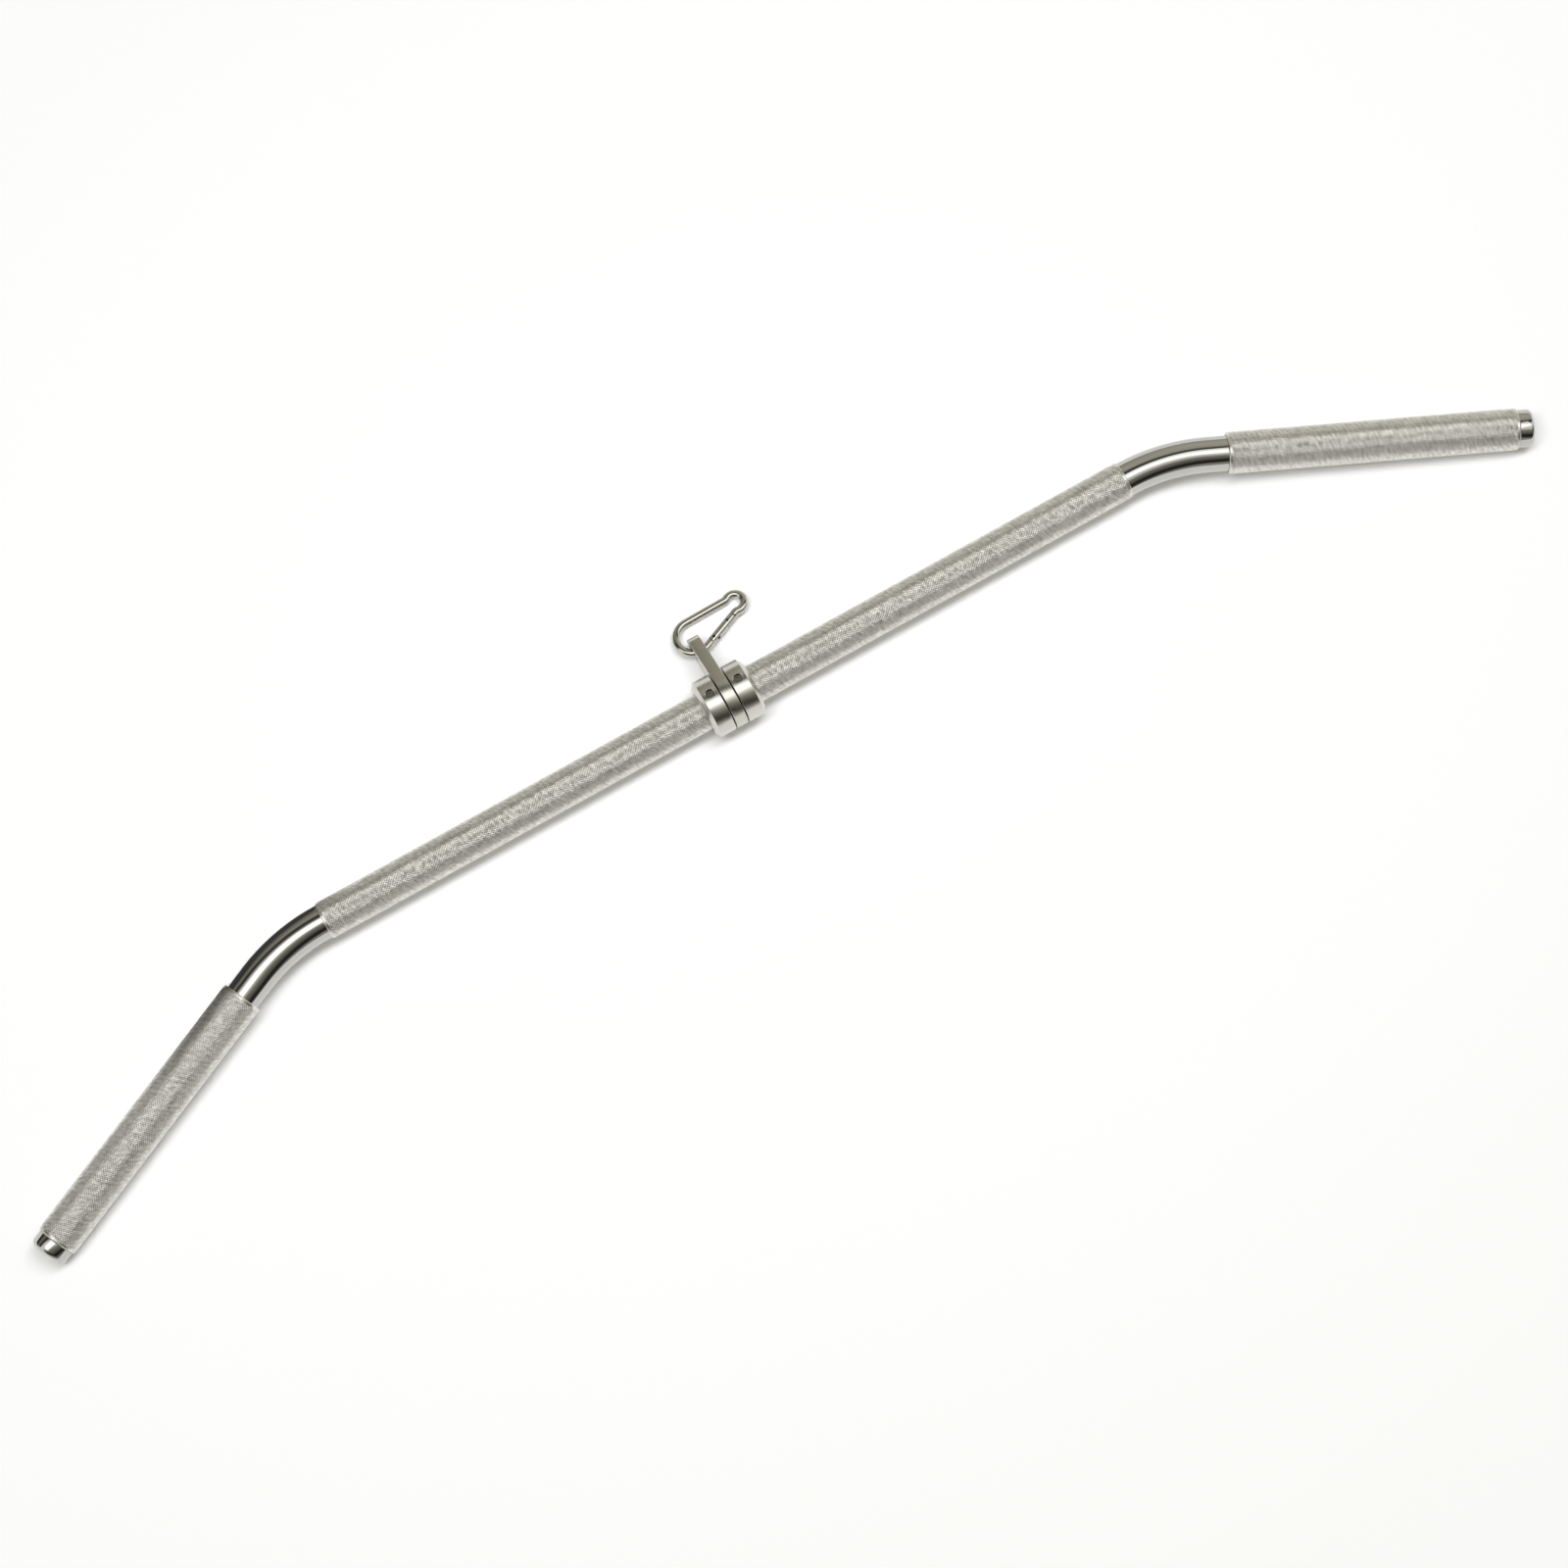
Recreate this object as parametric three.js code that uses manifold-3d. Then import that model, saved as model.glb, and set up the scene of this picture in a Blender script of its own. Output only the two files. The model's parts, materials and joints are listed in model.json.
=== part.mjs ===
// Lat pulldown bar: a bent tube with knurled sleeves, a swivelling hanger between two collars, and a snap hook.
// Millimetres, +Z up. The bar lies on the ground on its collars and the ends of its grips.
import * as THREE from 'three';
import { mergeVertices } from 'three/addons/utils/BufferGeometryUtils.js';
import Module from 'manifold-3d';

const wasm = await Module();
wasm.setup();

const { degToRad, clamp } = THREE.MathUtils;

// Fits shared by all pieces
const fitGap = 0.3; // between pieces that are pressed, screwed or resting on each other
const shimGap = 0.1; // on each side of a thrust washer that it is squeezed against
const runningGap = 0.35; // between faces that slide past each other
const overrun = 4; // how far a cutting body runs past what it cuts

// Bar tube
const tubeDiameter = 26;
const tubeWall = 2.5;
const straightHalf = 330.1; // from the middle of the bar to where a bend starts
const bendRadius = 146;
const bendAngle = degToRad(24.35);
const tubeSides = 32;
const bendSteps = 8;

// Knurled sleeves
const centreSleeveDiameter = 28;
const gripSleeveDiameter = 30.5;
const gripSleeveLength = 212.4;
const centreSleeveSetback = 1.3; // straight tube between the centre sleeve and the bend
const gripSleeveSetback = 15.4; // straight tube between the bend and the grip sleeve
const sleeveChamfer = 0.6;

// End plugs
const plugHeadDiameter = 27.6;
const plugHeadLength = 11.4;
const plugEdgeRadius = 3.2;
const plugSpigotLength = 22;
const plugFaceShare = 0.5; // flat share of the head's end face, the rest is slightly domed
const plugDome = 0.5;
const roundSteps = 6;

// Collars and their set screws
const collarDiameter = 44.5;
const collarWidth = 15;
const collarChamferLength = 3;
const collarChamferDepth = 4.2;
const collarEdgeBreak = 0.4;
const collarSides = 48;
const screwDiameter = 6;
const screwLength = 6.6;
const screwSocketFlats = 3;
const screwSocketDepth = 3;
const screwCountersink = 0.7;
const screwTurn = degToRad(15.5); // round the bar, from square to the plane of its bends

// Hanger, its bush and the thrust washers
const hangerThickness = 9;
const hangerRingInset = 0.15; // the ring is this much smaller in radius than the collars
const hangerReach = 45; // from the bar's axis to the hole's axis
const hangerEndRadius = 11;
const hangerHoleDiameter = 13.6;
const hangerEdgeBreak = 0.5;
const hangerSides = 48;
const bushWall = 2;
const washerThickness = 0.5;
const washerDiameter = 33;

// Snap hook: a big bow, a straight spine, a small eye, and a gate from the bow to the nose
const wireDiameter = 6.3;
const bowRadius = 12.9;
const eyeRadius = 7;
const bowToEye = 39.4;
const hookTaper = degToRad(11.2); // of the spine and of the gate, to the hook's long axis
const eyeSweep = degToRad(110.5); // each way from the hook's far end
const wireSides = 14;
const wireStep = 2.2; // along the hook's centre line

// Gate, measured along its own line from the hinge pin
const hingeFromBow = 10.6; // the hinge pin's place along the hook's long axis, from the bow's centre
const gateLength = 21.7; // from the hinge pin to the gate's tip
const latchPinFromTip = 6;
const hingePinDiameter = 2;
const latchPinDiameter = 1.8;
const gateCheek = 1.85; // of the wire, on each side of the gate's two fork slots
const hingeSlotLength = 3.4; // past the hinge pin
const latchSlotLength = 9.3; // from the tip
const latchHookThickness = 1.5;
const latchLipShare = 0.4; // of the wire's radius, how far the latch hook's lip stands past the gate's line
const noseGap = 0.6;
const springBoreWall = 1.45;
const springBoreLength = 11.2;
const plungerLength = 3.4;
const pinSides = 12;

// How the hanger and the hook lie
const hookYaw = degToRad(12.2);
const crossingTurn = degToRad(-110.4); // the place on the bow that passes through the hanger's hole
const crossingDrop = 2; // from the hole's axis down to the wire's centre
const crossingBack = 0.4; // from the hole's axis towards the bar

const tubeRadius = tubeDiameter / 2;
const boreRadius = tubeRadius - tubeWall;
const collarRadius = collarDiameter / 2;
const ringRadius = collarRadius - hangerRingInset;
const wireRadius = wireDiameter / 2;
const forkSlot = wireDiameter - 2 * gateCheek;
const tongueThickness = forkSlot - 2 * fitGap;
const springBoreDiameter = wireDiameter - 2 * springBoreWall;
const gripStart = straightHalf + bendRadius * bendAngle + gripSleeveSetback;
const gripEnd = gripStart + gripSleeveLength;
const sideGap = shimGap + washerThickness + runningGap;
const collarFace = hangerThickness / 2 + sideGap; // from the middle of the bar to a collar's inner face

const steel = (color, roughness, metalness = 1) => new THREE.MeshStandardMaterial({ color, roughness, metalness });
const chromeFinish = steel(0xd8d9da, 0.08);
const knurlFinish = steel(0xb4b2aa, 0.42);
const satinFinish = steel(0xbdbbb2, 0.26);
const plateFinish = steel(0x9c9a8d, 0.35);
const wireFinish = steel(0xc2c0b6, 0.16);
const screwFinish = steel(0x77766f, 0.3);
const bronzeFinish = steel(0xa5803f, 0.35);
const nylonFinish = steel(0x26272a, 0.6, 0);

// Geometry to solid and back, for joins and cuts
function solidOf(geometry) {
  const bare = geometry.clone();
  bare.deleteAttribute('normal');
  bare.deleteAttribute('uv');
  const merged = mergeVertices(bare);
  const vertProperties = Float32Array.from(merged.attributes.position.array);
  const triVerts = Uint32Array.from(merged.index.array);
  return new wasm.Manifold(new wasm.Mesh({ numProp: 3, vertProperties, triVerts }));
}

function geometryOf(solid) {
  const { vertProperties, triVerts } = solid.getMesh();
  const geometry = new THREE.BufferGeometry();
  geometry.setAttribute('position', new THREE.BufferAttribute(vertProperties, 3));
  geometry.setIndex(new THREE.BufferAttribute(triVerts, 1));
  geometry.computeVertexNormals();
  return geometry;
}

function mesh(name, solid, material) {
  const part = new THREE.Mesh(geometryOf(solid), material);
  part.name = name;
  return part;
}

// A body turned round X from a closed profile of [distance along X, radius] points
function turned(profile, sides) {
  const points = profile.map(([along, radius]) => new THREE.Vector2(radius, along));
  return solidOf(new THREE.LatheGeometry(points, sides).rotateZ(-Math.PI / 2));
}

// A straight ring round X with chamfered outer edges
function sleeve(length, outerRadius, innerRadius, chamfer, sides) {
  return turned([
    [0, innerRadius],
    [0, outerRadius - chamfer],
    [chamfer, outerRadius],
    [length - chamfer, outerRadius],
    [length, outerRadius - chamfer],
    [length, innerRadius],
    [0, innerRadius],
  ], sides);
}

// A round pin along Z, centred on the origin
function pinAlongZ(radius, length, sides = pinSides) {
  return solidOf(new THREE.CylinderGeometry(radius, radius, length, sides).rotateX(Math.PI / 2));
}

// A flat plate of an outline, centred on Z
function plate(shape, thickness) {
  const options = { depth: thickness, bevelEnabled: false, curveSegments: hangerSides / 2 };
  return solidOf(new THREE.ExtrudeGeometry(shape, options).translate(0, 0, -thickness / 2));
}

function block(lowX, highX, lowY, highY, thickness) {
  const box = new THREE.BoxGeometry(highX - lowX, highY - lowY, thickness);
  return solidOf(box.translate((lowX + highX) / 2, (lowY + highY) / 2, 0));
}

// A curve through chosen stations, so that a swept section stands exactly at each of them
class StationCurve extends THREE.Curve {
  constructor(stations, place) {
    super();
    this.stations = stations;
    this.place = place;
  }

  at(share) {
    return this.place(this.stations[Math.round(share * (this.stations.length - 1))]);
  }

  getPointAt(share) {
    return this.at(share).point;
  }

  getTangentAt(share) {
    return this.at(share).along;
  }
}

function swept(shape, stations, place, sides) {
  const extrudePath = new StationCurve(stations, place);
  const options = { steps: stations.length - 1, extrudePath, curveSegments: sides / 2 };
  return solidOf(new THREE.ExtrudeGeometry(shape, options));
}

// A place on the bar's centre line, a run of millimetres from its middle, in the bar's own plane
function onBar(run) {
  const side = Math.sign(run) || 1;
  const distance = Math.abs(run);
  const turn = clamp((distance - straightHalf) / bendRadius, 0, bendAngle);
  const past = Math.max(0, distance - straightHalf - bendRadius * bendAngle);
  const x = Math.min(distance, straightHalf) + bendRadius * Math.sin(turn) + past * Math.cos(turn);
  const y = -bendRadius * (1 - Math.cos(turn)) - past * Math.sin(turn);
  return {
    point: new THREE.Vector3(side * x, y, 0),
    along: new THREE.Vector3(Math.cos(turn), -side * Math.sin(turn), 0),
  };
}

function barTube() {
  const section = new THREE.Shape().absarc(0, 0, tubeRadius, 0, 2 * Math.PI);
  section.holes.push(new THREE.Path().absarc(0, 0, boreRadius, 0, 2 * Math.PI));
  const right = [0];
  for (let step = 0; step <= bendSteps; step += 1) {
    right.push(straightHalf + (bendRadius * bendAngle * step) / bendSteps);
  }
  right.push(gripEnd);
  const stations = [...right.slice(1).reverse().map((run) => -run), ...right];
  return swept(section, stations, onBar, tubeSides);
}

// A plug with a head outside the tube and a spigot inside it, built from the tube's end at x = 0 outwards
function endPlug() {
  const headRadius = plugHeadDiameter / 2;
  const faceRadius = headRadius - plugEdgeRadius;
  const profile = [
    [-plugSpigotLength, 0],
    [-plugSpigotLength, boreRadius - fitGap],
    [fitGap, boreRadius - fitGap],
    [fitGap, headRadius],
  ];
  for (let step = 0; step <= roundSteps; step += 1) {
    const turn = (Math.PI / 2) * (step / roundSteps);
    const along = plugHeadLength - plugEdgeRadius * (1 - Math.sin(turn)) - plugDome;
    profile.push([along, faceRadius + plugEdgeRadius * Math.cos(turn)]);
  }
  profile.push([plugHeadLength, faceRadius * plugFaceShare]);
  profile.push([plugHeadLength, 0]);
  return turned(profile, tubeSides);
}

// A collar with its inner face at x = 0 and its big chamfer at the far end, screw hole along +Z
const screwAlong = (collarWidth - collarChamferLength) / 2;

function collar() {
  const innerRadius = centreSleeveDiameter / 2 + fitGap;
  const ring = turned([
    [0, innerRadius],
    [0, collarRadius - collarEdgeBreak],
    [collarEdgeBreak, collarRadius],
    [collarWidth - collarChamferLength, collarRadius],
    [collarWidth, collarRadius - collarChamferDepth],
    [collarWidth, innerRadius],
    [0, innerRadius],
  ], collarSides);
  const holeRadius = screwDiameter / 2 + fitGap;
  const hole = pinAlongZ(holeRadius, collarRadius + overrun, 2 * pinSides)
    .translate([screwAlong, 0, (collarRadius + overrun) / 2]);
  const sinkDepth = 2 * screwCountersink;
  const sink = solidOf(
    new THREE.CylinderGeometry(holeRadius + sinkDepth, holeRadius, sinkDepth, 2 * pinSides).rotateX(Math.PI / 2),
  ).translate([screwAlong, 0, collarRadius]);
  return ring.subtract(hole).subtract(sink);
}

function setScrew() {
  const seat = centreSleeveDiameter / 2 + fitGap;
  const screw = pinAlongZ(screwDiameter / 2, screwLength, 2 * pinSides)
    .translate([screwAlong, 0, seat + screwLength / 2]);
  const socketRadius = screwSocketFlats / 2 / Math.cos(Math.PI / 6);
  const socketHeight = screwSocketDepth + overrun;
  const socket = pinAlongZ(socketRadius, socketHeight, 6)
    .translate([screwAlong, 0, seat + screwLength - screwSocketDepth + socketHeight / 2]);
  return screw.subtract(socket);
}

// The hanger's plate in its own plane: ring at the origin, tab along +Y, thickness along X
const bushRadius = tubeRadius + runningGap + bushWall;

function hangerOutline(inset) {
  const ring = ringRadius - inset;
  const end = hangerEndRadius - inset;
  const lean = Math.asin((ring - end) / hangerReach); // of the tangent sides to the tab's centre line
  const outline = new THREE.Shape();
  outline.absarc(0, 0, ring, Math.PI - lean, 2 * Math.PI + lean, false);
  outline.absarc(0, hangerReach, end, lean, Math.PI - lean, false);
  outline.closePath();
  return outline;
}

function hanger() {
  const body = plate(hangerOutline(0), hangerThickness - 2 * hangerEdgeBreak)
    .add(plate(hangerOutline(hangerEdgeBreak), hangerThickness));
  const bore = pinAlongZ(bushRadius + fitGap, hangerThickness + overrun, hangerSides);
  const hole = pinAlongZ(hangerHoleDiameter / 2, hangerThickness + overrun, hangerSides / 2)
    .translate([0, hangerReach, 0]);
  return body.subtract(bore).subtract(hole).rotate([0, 90, 0]);
}

function hangerBush() {
  const innerRadius = tubeRadius + runningGap;
  return sleeve(hangerThickness, bushRadius, innerRadius, fitGap, tubeSides).translate([-hangerThickness / 2, 0, 0]);
}

// The hook in its own plane: the bow's centre at the origin, the eye along +X, the spine on the +Y side
const gateLean = new THREE.Vector2(Math.cos(hookTaper), Math.sin(hookTaper));
const gateFoot = new THREE.Vector2(bowRadius * Math.sin(hookTaper), -bowRadius * Math.cos(hookTaper));
const hingePoint = gateFoot.clone().addScaledVector(gateLean, (hingeFromBow - gateFoot.x) / gateLean.x);
const bowEndGap = wireRadius + runningGap; // from the hinge pin back to the full wire of the bow
const noseFrom = gateLength + noseGap; // from the hinge pin to the full wire of the nose

function hookPath() {
  const start = hingePoint.clone().addScaledVector(gateLean, -bowEndGap);
  const nose = hingePoint.clone().addScaledVector(gateLean, noseFrom);
  const neck = new THREE.Vector2(bowToEye + eyeRadius * Math.cos(eyeSweep), eyeRadius * Math.sin(eyeSweep));

  // The spine's line and the eye's tangent at the neck meet in a corner, and one arc eases it on both sides
  const spineNormal = new THREE.Vector2(Math.sin(hookTaper), Math.cos(hookTaper));
  const neckTurn = eyeSweep - Math.PI / 2 + hookTaper;
  const neckTangent = (neck.dot(spineNormal) - bowRadius) / Math.sin(neckTurn);
  const neckRadius = neckTangent / Math.tan(neckTurn / 2);
  const neckCentre = new THREE.Vector2(Math.cos(eyeSweep), Math.sin(eyeSweep)).multiplyScalar(neckRadius).add(neck);
  const spineSide = -Math.PI / 2 - hookTaper; // from the neck arc's centre to the end of the spine

  const path = new THREE.Path();
  path.moveTo(start.x, start.y);
  path.lineTo(gateFoot.x, gateFoot.y);
  path.absarc(0, 0, bowRadius, hookTaper - Math.PI / 2, Math.PI / 2 - hookTaper, true);
  path.lineTo(neckCentre.x + neckRadius * Math.cos(spineSide), neckCentre.y + neckRadius * Math.sin(spineSide));
  path.absarc(neckCentre.x, neckCentre.y, neckRadius, spineSide, spineSide + neckTurn, false);
  path.absarc(bowToEye, 0, eyeRadius, eyeSweep, -eyeSweep, true);
  path.absarc(neckCentre.x, -neckCentre.y, neckRadius, -spineSide - neckTurn, -spineSide, false);
  path.lineTo(nose.x, nose.y);
  return path;
}

function carabinerBody() {
  const path = hookPath();
  const count = Math.round(path.getLength() / wireStep);
  const stations = Array.from({ length: count + 1 }, (unused, index) => index / count);
  const place = (share) => {
    const point = path.getPointAt(share);
    const along = path.getTangentAt(share);
    return { point: new THREE.Vector3(point.x, point.y, 0), along: new THREE.Vector3(along.x, along.y, 0) };
  };
  const section = new THREE.Shape().absarc(0, 0, wireRadius, 0, 2 * Math.PI);
  const wire = swept(section, stations, place, wireSides);

  // The tongues are laid out along the gate's line and then turned onto it
  const hingeTongueRadius = hingeSlotLength - runningGap;
  const tongueHalf = Math.min(hingeTongueRadius, wireRadius - fitGap);
  const hingeTongue = pinAlongZ(tongueHalf, tongueThickness, 2 * pinSides)
    .add(block(-bowEndGap - wireRadius, 0, -tongueHalf, tongueHalf, tongueThickness))
    .subtract(pinAlongZ(hingePinDiameter / 2 + fitGap, tongueThickness + overrun));
  const latchPinAt = gateLength - latchPinFromTip;
  const notchHalf = latchPinDiameter / 2 + runningGap;
  const lip = wireRadius * latchLipShare;
  const latchTongue = block(latchPinAt - notchHalf - latchHookThickness, noseFrom + wireRadius,
    -tongueHalf, -notchHalf, tongueThickness)
    .add(block(latchPinAt - notchHalf - latchHookThickness, latchPinAt - notchHalf, -tongueHalf, lip, tongueThickness))
    .add(block(latchPinAt + notchHalf, noseFrom + wireRadius, -tongueHalf, tongueHalf, tongueThickness));
  const onGate = (solid) => solid.rotate([0, 0, THREE.MathUtils.radToDeg(hookTaper)])
    .translate([hingePoint.x, hingePoint.y, 0]);
  return wire.add(onGate(hingeTongue)).add(onGate(latchTongue));
}

// The gate along +X from its hinge pin at the origin
function carabinerGate() {
  const rod = solidOf(new THREE.CylinderGeometry(wireRadius, wireRadius, gateLength, wireSides)
    .rotateZ(-Math.PI / 2).translate(gateLength / 2, 0, 0));
  const knuckle = pinAlongZ(wireRadius, wireDiameter, 2 * pinSides);
  const round = solidOf(new THREE.CylinderGeometry(wireRadius, wireRadius, 2 * wireDiameter, wireSides)
    .rotateZ(-Math.PI / 2));
  const hingeSlot = block(-wireDiameter, hingeSlotLength, -wireDiameter, wireDiameter, forkSlot);
  const latchSlot = block(gateLength - latchSlotLength, gateLength + overrun, -wireDiameter, wireDiameter, forkSlot);
  const bore = solidOf(new THREE.CylinderGeometry(springBoreDiameter / 2, springBoreDiameter / 2,
    springBoreLength, pinSides).rotateZ(-Math.PI / 2).translate(springBoreLength / 2, 0, 0));
  const pinHole = (diameter, along) => pinAlongZ(diameter / 2 + fitGap / 2, wireDiameter + overrun)
    .translate([along, 0, 0]);
  return rod.add(knuckle.intersect(round))
    .subtract(hingeSlot)
    .subtract(latchSlot)
    .subtract(bore)
    .subtract(pinHole(hingePinDiameter, 0))
    .subtract(pinHole(latchPinDiameter, gateLength - latchPinFromTip));
}

function inBore(from, length) {
  const radius = springBoreDiameter / 2 - fitGap;
  return solidOf(new THREE.CylinderGeometry(radius, radius, length, pinSides)
    .rotateZ(-Math.PI / 2).translate(from + length / 2, 0, 0));
}

// The bar and what is fixed to it, in the plane of its bends
const bar = new THREE.Group();
bar.add(mesh('bar_tube', barTube(), chromeFinish));
for (const [side, sign] of [['left', -1], ['right', 1]]) {
  const half = new THREE.Group();
  half.rotation.y = sign < 0 ? Math.PI : 0;
  const centreLength = straightHalf - centreSleeveSetback - collarFace;
  const innerRadius = tubeRadius + fitGap;
  const centreSleeve = mesh(`${side}_centre_sleeve`,
    sleeve(centreLength, centreSleeveDiameter / 2, innerRadius, sleeveChamfer, tubeSides), knurlFinish);
  centreSleeve.position.x = collarFace;
  const washer = mesh(`${side}_thrust_washer`,
    sleeve(washerThickness, washerDiameter / 2, innerRadius, shimGap, tubeSides), nylonFinish);
  washer.position.x = collarFace - shimGap - washerThickness;

  const grip = new THREE.Group();
  grip.position.copy(onBar(gripStart).point);
  grip.rotation.z = -bendAngle;
  const gripSleeve = mesh(`${side}_grip_sleeve`,
    sleeve(gripSleeveLength, gripSleeveDiameter / 2, innerRadius, sleeveChamfer, tubeSides), knurlFinish);
  const plug = mesh(`${side}_end_plug`, endPlug(), chromeFinish);
  plug.position.x = gripSleeveLength;
  grip.add(gripSleeve, plug);

  const stop = new THREE.Group();
  stop.position.x = collarFace;
  stop.rotation.x = sign < 0 ? Math.PI + screwTurn : -screwTurn;
  stop.add(mesh(`${side}_collar`, collar(), satinFinish), mesh(`${side}_set_screw`, setScrew(), screwFinish));
  half.add(centreSleeve, washer, grip, stop);
  bar.add(half);
}
const gripRest = onBar(gripEnd - sleeveChamfer).point;
bar.rotation.x = Math.asin((collarRadius - gripSleeveDiameter / 2) / -gripRest.y);
bar.position.z = collarRadius;

// The hanger hangs over until its tab nearly meets the ground
const hangerDrop = Math.asin((ringRadius - hangerEndRadius) / hangerReach);
const swivel = new THREE.Group();
swivel.position.z = collarRadius;
swivel.rotation.x = -hangerDrop;
swivel.add(mesh('hanger', hanger(), plateFinish), mesh('hanger_bush', hangerBush(), bronzeFinish));

// The hook lies with its eye's outer edge on the ground and its bow in the hanger's hole
const holeY = hangerReach * Math.cos(hangerDrop);
const holeZ = collarRadius - hangerReach * Math.sin(hangerDrop);
const crossing = new THREE.Vector3(0, holeY - crossingBack, holeZ - crossingDrop);
const crossingInHook = new THREE.Vector3(bowRadius * Math.cos(crossingTurn), bowRadius * Math.sin(crossingTurn), 0);
const eyeReach = (bowToEye - crossingInHook.x) * Math.sin(hookYaw) - crossingInHook.y * Math.cos(hookYaw) + eyeRadius;
const hookTilt = Math.asin((crossing.z - wireRadius - fitGap) / eyeReach);
const hook = new THREE.Group();
hook.rotation.set(-hookTilt, 0, hookYaw, 'XYZ');
hook.position.copy(crossing).sub(crossingInHook.applyEuler(hook.rotation));
hook.add(mesh('carabiner_body', carabinerBody(), wireFinish));

const gate = new THREE.Group();
gate.position.set(hingePoint.x, hingePoint.y, 0);
gate.rotation.z = hookTaper;
gate.add(mesh('carabiner_gate', carabinerGate(), wireFinish));
gate.add(mesh('gate_hinge_pin', pinAlongZ(hingePinDiameter / 2, wireDiameter), screwFinish));
const latchPin = mesh('gate_latch_pin', pinAlongZ(latchPinDiameter / 2, wireDiameter), screwFinish);
latchPin.position.x = gateLength - latchPinFromTip;
const plungerFrom = hingeSlotLength;
const springFrom = plungerFrom + plungerLength + fitGap;
const plunger = mesh('gate_plunger', inBore(plungerFrom, plungerLength), bronzeFinish);
const spring = mesh('gate_spring', inBore(springFrom, springBoreLength - fitGap - springFrom), screwFinish);
gate.add(latchPin, plunger, spring);
hook.add(gate);

// The origin is on the ground, under the middle of the whole part
const assembly = new THREE.Group();
assembly.add(bar, swivel, hook);
assembly.updateMatrixWorld(true);
const extent = new THREE.Box3().setFromObject(assembly, true);
assembly.position.set(-(extent.min.x + extent.max.x) / 2, -(extent.min.y + extent.max.y) / 2, -extent.min.z);

const part = new THREE.Group();
part.add(assembly);

export default part;
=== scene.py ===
"""A lat pulldown bar on a pale studio floor: a bent chrome tube with knurled sleeves, a swivelling
hanger between two collars, and a snap hook. Lengths are in metres, in the frame's own axes."""
import json
from math import acos, asin, atan2, ceil, cos, floor, pi, radians, sin, tan
from random import Random

import bmesh
import bpy
from mathutils import Matrix, Vector


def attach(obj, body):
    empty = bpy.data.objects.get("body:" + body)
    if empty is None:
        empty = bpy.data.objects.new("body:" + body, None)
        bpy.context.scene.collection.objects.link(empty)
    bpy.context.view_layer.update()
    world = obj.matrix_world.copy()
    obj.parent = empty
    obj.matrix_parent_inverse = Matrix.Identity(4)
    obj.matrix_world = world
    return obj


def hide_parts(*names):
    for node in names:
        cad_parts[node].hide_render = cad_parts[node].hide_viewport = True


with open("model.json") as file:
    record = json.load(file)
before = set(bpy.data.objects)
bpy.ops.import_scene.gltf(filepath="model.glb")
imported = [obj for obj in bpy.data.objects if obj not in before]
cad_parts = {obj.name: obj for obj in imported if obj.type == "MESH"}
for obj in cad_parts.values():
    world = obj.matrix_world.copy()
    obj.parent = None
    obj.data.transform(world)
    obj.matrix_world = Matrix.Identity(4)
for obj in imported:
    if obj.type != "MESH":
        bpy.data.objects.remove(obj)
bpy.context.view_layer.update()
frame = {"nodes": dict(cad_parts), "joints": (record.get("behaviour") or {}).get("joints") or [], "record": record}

MM = 0.001

# Fits that the pieces share with the frame's solids
FIT_GAP = 0.3 * MM
SHIM_GAP = 0.1 * MM
RUNNING_GAP = 0.35 * MM
OVERRUN = 4 * MM

# Bar tube
TUBE_RADIUS = 13 * MM
BORE_RADIUS = 10.5 * MM
STRAIGHT_HALF = 330.1 * MM
BEND_RADIUS = 146 * MM
BEND_STEP = radians(1.5)
TUBE_SIDES = 128

# Knurled sleeves
CENTRE_SLEEVE_RADIUS = 14 * MM
GRIP_SLEEVE_RADIUS = 15.25 * MM
GRIP_SLEEVE_LENGTH = 212.4 * MM
CENTRE_SLEEVE_SETBACK = 1.3 * MM
GRIP_SLEEVE_SETBACK = 15.4 * MM
SLEEVE_CHAMFER = 0.6 * MM
SLEEVE_BAND = 1.6 * MM
KNURL_ALONG = 1.05 * MM  # from a crown to the next groove, along and around the sleeve
KNURL_AROUND = 0.95 * MM
KNURL_DEPTH = 0.19 * MM
KNURL_UNEVEN = 0.4  # of the knurl's depth, either way, from groove to groove
KNURL_SEED = 4

# End plugs
PLUG_RADIUS = 13.8 * MM
PLUG_LENGTH = 11.4 * MM
PLUG_EDGE = 3.2 * MM
PLUG_SPIGOT = 22 * MM
PLUG_SPIGOT_EDGE = 1 * MM
PLUG_DOME = 0.5 * MM
PLUG_FLAT = 5.3 * MM

# Collars and set screws
COLLAR_RADIUS = 22.25 * MM
COLLAR_WIDTH = 15 * MM
COLLAR_CHAMFER_LENGTH = 3 * MM
COLLAR_CHAMFER_DEPTH = 4.2 * MM
COLLAR_EDGE = 0.4 * MM
SCREW_RADIUS = 3 * MM
SCREW_LENGTH = 6.6 * MM
SCREW_SOCKET_FLATS = 3 * MM
SCREW_SOCKET_DEPTH = 3 * MM
SCREW_SINK = 0.5 * MM
SCREW_TURN = radians(15.5)

# Hanger, bush and thrust washers
HANGER_THICKNESS = 9 * MM
HANGER_RING_RADIUS = 22.1 * MM
HANGER_REACH = 45 * MM
HANGER_END_RADIUS = 11 * MM
HANGER_HOLE_RADIUS = 6.8 * MM
HANGER_EDGE = 0.5 * MM
BUSH_WALL = 2 * MM
WASHER_THICKNESS = 0.5 * MM
WASHER_RADIUS = 16.5 * MM

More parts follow.
